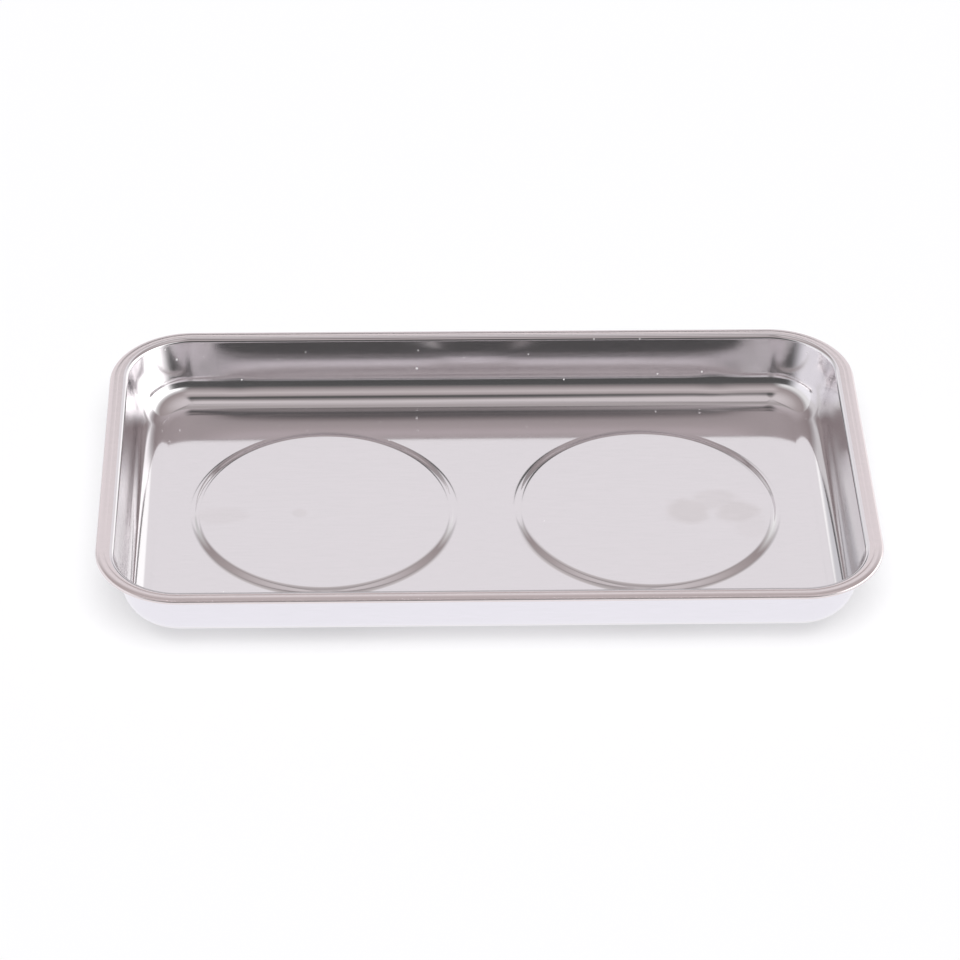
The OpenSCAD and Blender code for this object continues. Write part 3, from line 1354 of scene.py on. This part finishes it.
@dataclass
class Studio:
    """Pale table, soft light, the room that the steel mirrors, and the camera. Metres, degrees."""

    azimuth: float = -1.99
    elevation: float = 37.215
    roll: float = 0.761
    distance: float = 1189.947 * MM
    aim: Place = (-2.306 * MM, -11.489 * MM, 29.4 * MM)
    focal_px: float = 3826.958
    frame_px: float = 960.0
    sensor_mm: float = 36.0
    nearest: float = 0.01
    farthest: float = 50.0
    table_half: float = 4.0
    table_gap: float = 0.02 * MM
    table_level: float = 0.95
    table_roughness: float = 0.9
    table_white: float = 0.42
    table_tint: Colour = (0.98, 0.975, 1.0, 1.0)
    mirrored_white: float = 1.0
    fill_level: float = 0.3
    lamp_level: float = 0.76
    lamp_height: float = 56.0
    lamp_width: float = 36.0
    room: MirroredRoom = MirroredRoom()

    def camera(self) -> None:
        """Make the camera at the photograph's viewing angle."""
        a, e, r = (math.radians(v) for v in (self.azimuth, self.elevation, self.roll))
        back = Vector((math.sin(a) * math.cos(e), -math.cos(a) * math.cos(e), math.sin(e)))
        right = (-back).cross(Vector((0, 0, 1))).normalized()
        up = right.cross(-back)
        level = Matrix((right, up, back)).transposed().to_4x4()
        data = bpy.data.cameras.new("camera")
        data.sensor_width = self.sensor_mm
        data.lens = self.focal_px / self.frame_px * self.sensor_mm
        data.clip_start, data.clip_end = self.nearest, self.farthest
        camera = bpy.data.objects.new("camera", data)
        camera.matrix_world = (Matrix.Translation(Vector(self.aim) + back * self.distance)
                               @ level @ Matrix.Rotation(r, 4, "Z"))
        bpy.context.scene.collection.objects.link(camera)
        bpy.context.scene.camera = camera

    def table_material(self) -> Material:
        """Make the table's finish, partly white of itself to the camera and wholly in mirrors.

        Returns:
            The material.
        """
        material = bpy.data.materials.new("pale_table")
        material.use_nodes = True
        nodes = material.node_tree.nodes
        graph = Graph(material.node_tree)
        shader = nodes["Principled BSDF"]
        for name, value in (("Base Color", grey(self.table_level)),
                            ("Roughness", self.table_roughness), ("Specular IOR Level", 0.0)):
            graph.feed(shader.inputs[name], value)
        seen, mirrored = ray_kinds(graph)
        share = graph.math("MAXIMUM", graph.math("MULTIPLY", seen, self.table_white),
                           graph.math("MULTIPLY", mirrored, self.mirrored_white))
        white = graph.add("ShaderNodeEmission", Color=self.table_tint, Strength=1.0)
        blend = graph.add("ShaderNodeMixShader", Fac=share)
        graph.feed(blend.inputs[1], shader.outputs[0])
        graph.feed(blend.inputs[2], white.outputs[0])
        graph.feed(nodes["Material Output"].inputs[0], blend.outputs[0])
        return material

    def table(self) -> None:
        """Make the pale table that the boots stand on."""
        h, z = self.table_half, -self.table_gap
        mesh = bpy.data.meshes.new("table")
        mesh.from_pydata([(-h, -h, z), (h, -h, z), (h, h, z), (-h, h, z)], [], [(0, 1, 2, 3)])
        mesh.materials.append(self.table_material())
        table = new_piece("table", mesh)
        table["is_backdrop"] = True

    def lamp(self) -> None:
        """Make the wide lamp in front of the tray and high above it."""
        height = math.radians(self.lamp_height)
        data = bpy.data.lights.new("lamp", "SUN")
        data.angle = math.radians(self.lamp_width)
        data.energy = math.pi * self.lamp_level / math.sin(height)
        lamp = bpy.data.objects.new("lamp", data)
        lamp.rotation_euler = (math.pi / 2 - height, 0.0, 0.0)
        lamp.visible_glossy = False
        bpy.context.scene.collection.objects.link(lamp)

    def surroundings(self) -> None:
        """Make the even light from all round, and the room that the steel mirrors."""
        world = bpy.data.worlds.new("studio")
        bpy.context.scene.world = world
        world.use_nodes = True
        graph = Graph(world.node_tree)
        seen, mirrored = ray_kinds(graph)
        plain = graph.mix(seen, grey(self.fill_level), grey(1.0))
        shader = world.node_tree.nodes["Background"]
        graph.feed(shader.inputs["Color"], graph.mix(mirrored, plain, self.room.colour(graph)))

    def build(self) -> None:
        """Set the camera, the table and the light."""
        bpy.context.scene.view_settings.view_transform = "Standard"
        self.camera()
        self.table()
        self.lamp()
        self.surroundings()


def main() -> None:
    """Build the studio and the tray."""
    logging.basicConfig(level=logging.INFO, format="%(name)s: %(message)s")
    Studio().build()
    shared = SharedEffects()
    TrayPan().build(shared)
    finishes = {
        "magnet_boot": MouldedRubber("moulded_rubber").material(shared),
        "ring_magnet": GroundFerrite("ground_ferrite").material(shared),
        "pole_plate": ZincPlate("zinc_plate").material(shared),
        "adhesive_pad": FoamTape("foam_tape").material(shared),
    }
    for side in Side:
        MagnetPack(side).dress(finishes)


if __name__ == "__main__":
    main()
